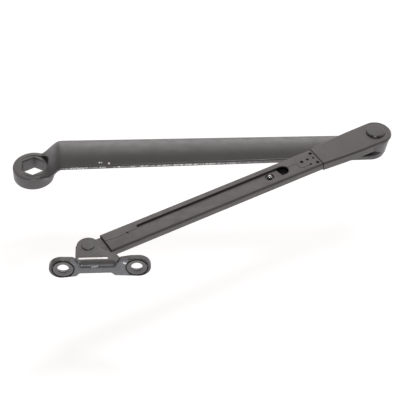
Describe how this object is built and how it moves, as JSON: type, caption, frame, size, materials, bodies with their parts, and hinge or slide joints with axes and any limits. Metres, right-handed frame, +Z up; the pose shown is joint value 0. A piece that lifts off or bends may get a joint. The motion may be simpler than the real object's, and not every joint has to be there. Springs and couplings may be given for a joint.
{
  "type": "door closer arm",
  "caption": "Double-lever door closer arm: a forged main arm with a hex socket, a telescoping forearm and a screw-on shoe, jointed by rivets.",
  "frame": {"origin": "on the axis of the hex socket, at the underside of the eye", "axes": "+Z up along the spindle and every pivot, +X along the main arm towards the elbow and along the face of the shoe, the forearm on the -Y side"},
  "size_m": [0.3092, 0.162, 0.0497],
  "materials": {
    "paint_arm": "satin dark bronze-grey paint over forged steel, worn along one edge",
    "paint_forearm": "satin dark bronze-grey paint over folded sheet steel",
    "paint_inner": "thin dark paint, rubbed where it slides",
    "paint_shoe": "semi-gloss dark grey paint over stamped steel",
    "paint_rivet": "semi-gloss dark paint over turned steel",
    "nylon": "black moulded nylon",
    "bronze": "oil-filled sintered bronze",
    "spring_steel": "plain zinc-plated steel",
    "ball_steel": "polished hardened steel"
  },
  "bodies": {
    "main_arm": {"main_arm": "paint_arm", "elbow_bushing": "bronze"},
    "forearm": {"elbow_channel": "paint_forearm", "splice_block": "paint_inner", "forearm_tube": "paint_forearm", "stake_pins": "paint_inner", "elbow_rivet": "paint_rivet", "elbow_thrust_washer": "nylon", "elbow_wave_washer": "spring_steel", "elbow_tail_washer": "spring_steel", "floor_liner": "nylon"},
    "slide": {"slide_bar": "paint_inner", "ball_cup": "paint_inner", "stop_ball": "ball_steel", "shoe_bushing": "bronze"},
    "shoe": {"shoe_bracket": "paint_shoe", "shoe_rivet": "paint_rivet", "shoe_spacer_washer": "spring_steel", "shoe_wave_washer": "spring_steel", "shoe_tail_washer": "spring_steel", "screw_bushing_left": "paint_rivet", "screw_bushing_right": "paint_rivet"}
  },
  "joints": [
    {"name": "elbow", "type": "hinge", "parent": "main_arm", "child": "forearm", "pos_m": [0.2794, 0, 0.03], "axis": [0, 0, 1], "range_deg": [-26, 140]},
    {"name": "forearm_slide", "type": "slide", "parent": "forearm", "child": "slide", "axis": [-0.8801, -0.4749, 0], "range_m": [-0.006, 0.114]},
    {"name": "shoe_pivot", "type": "hinge", "parent": "slide", "child": "shoe", "pos_m": [0.04882, -0.12441, 0.036], "axis": [0, 0, 1], "range_deg": [-120, 30]}
  ]
}
